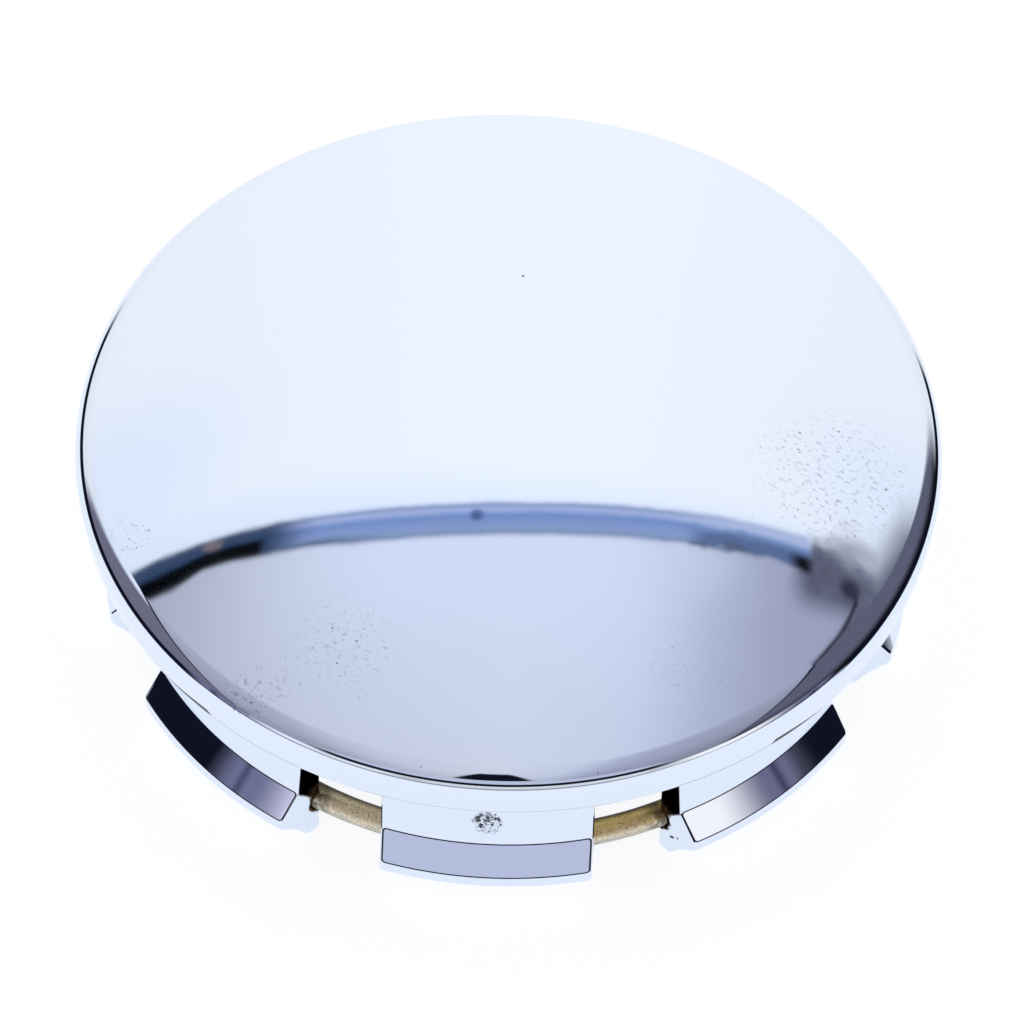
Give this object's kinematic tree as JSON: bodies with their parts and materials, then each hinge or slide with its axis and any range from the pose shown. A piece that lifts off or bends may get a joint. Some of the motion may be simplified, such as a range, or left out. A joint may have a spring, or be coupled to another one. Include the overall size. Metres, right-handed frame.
{
  "type": "wheel centre cap",
  "caption": "Round bright wheel centre cap: shallow domed face, seating flange and a ring of barbed snap legs, spread by a split wire spring in their inner groove.",
  "frame": {"origin": "on the cap's axis, in the plane of the flange's underside that seats on the wheel", "axes": "+Z out of the wheel through the face, -Y through the middle of the leg with the moulding gate"},
  "size_m": [0.083, 0.083, 0.0278],
  "materials": {
    "chrome_plate": "mirror-bright plating on moulded plastic, lightly pitted",
    "spring_wire": "drawn wire with a worn olive-gold coat"
  },
  "bodies": {
    "root": {"cap_body": "chrome_plate", "spring_ring": "spring_wire"}
  },
  "joints": []
}
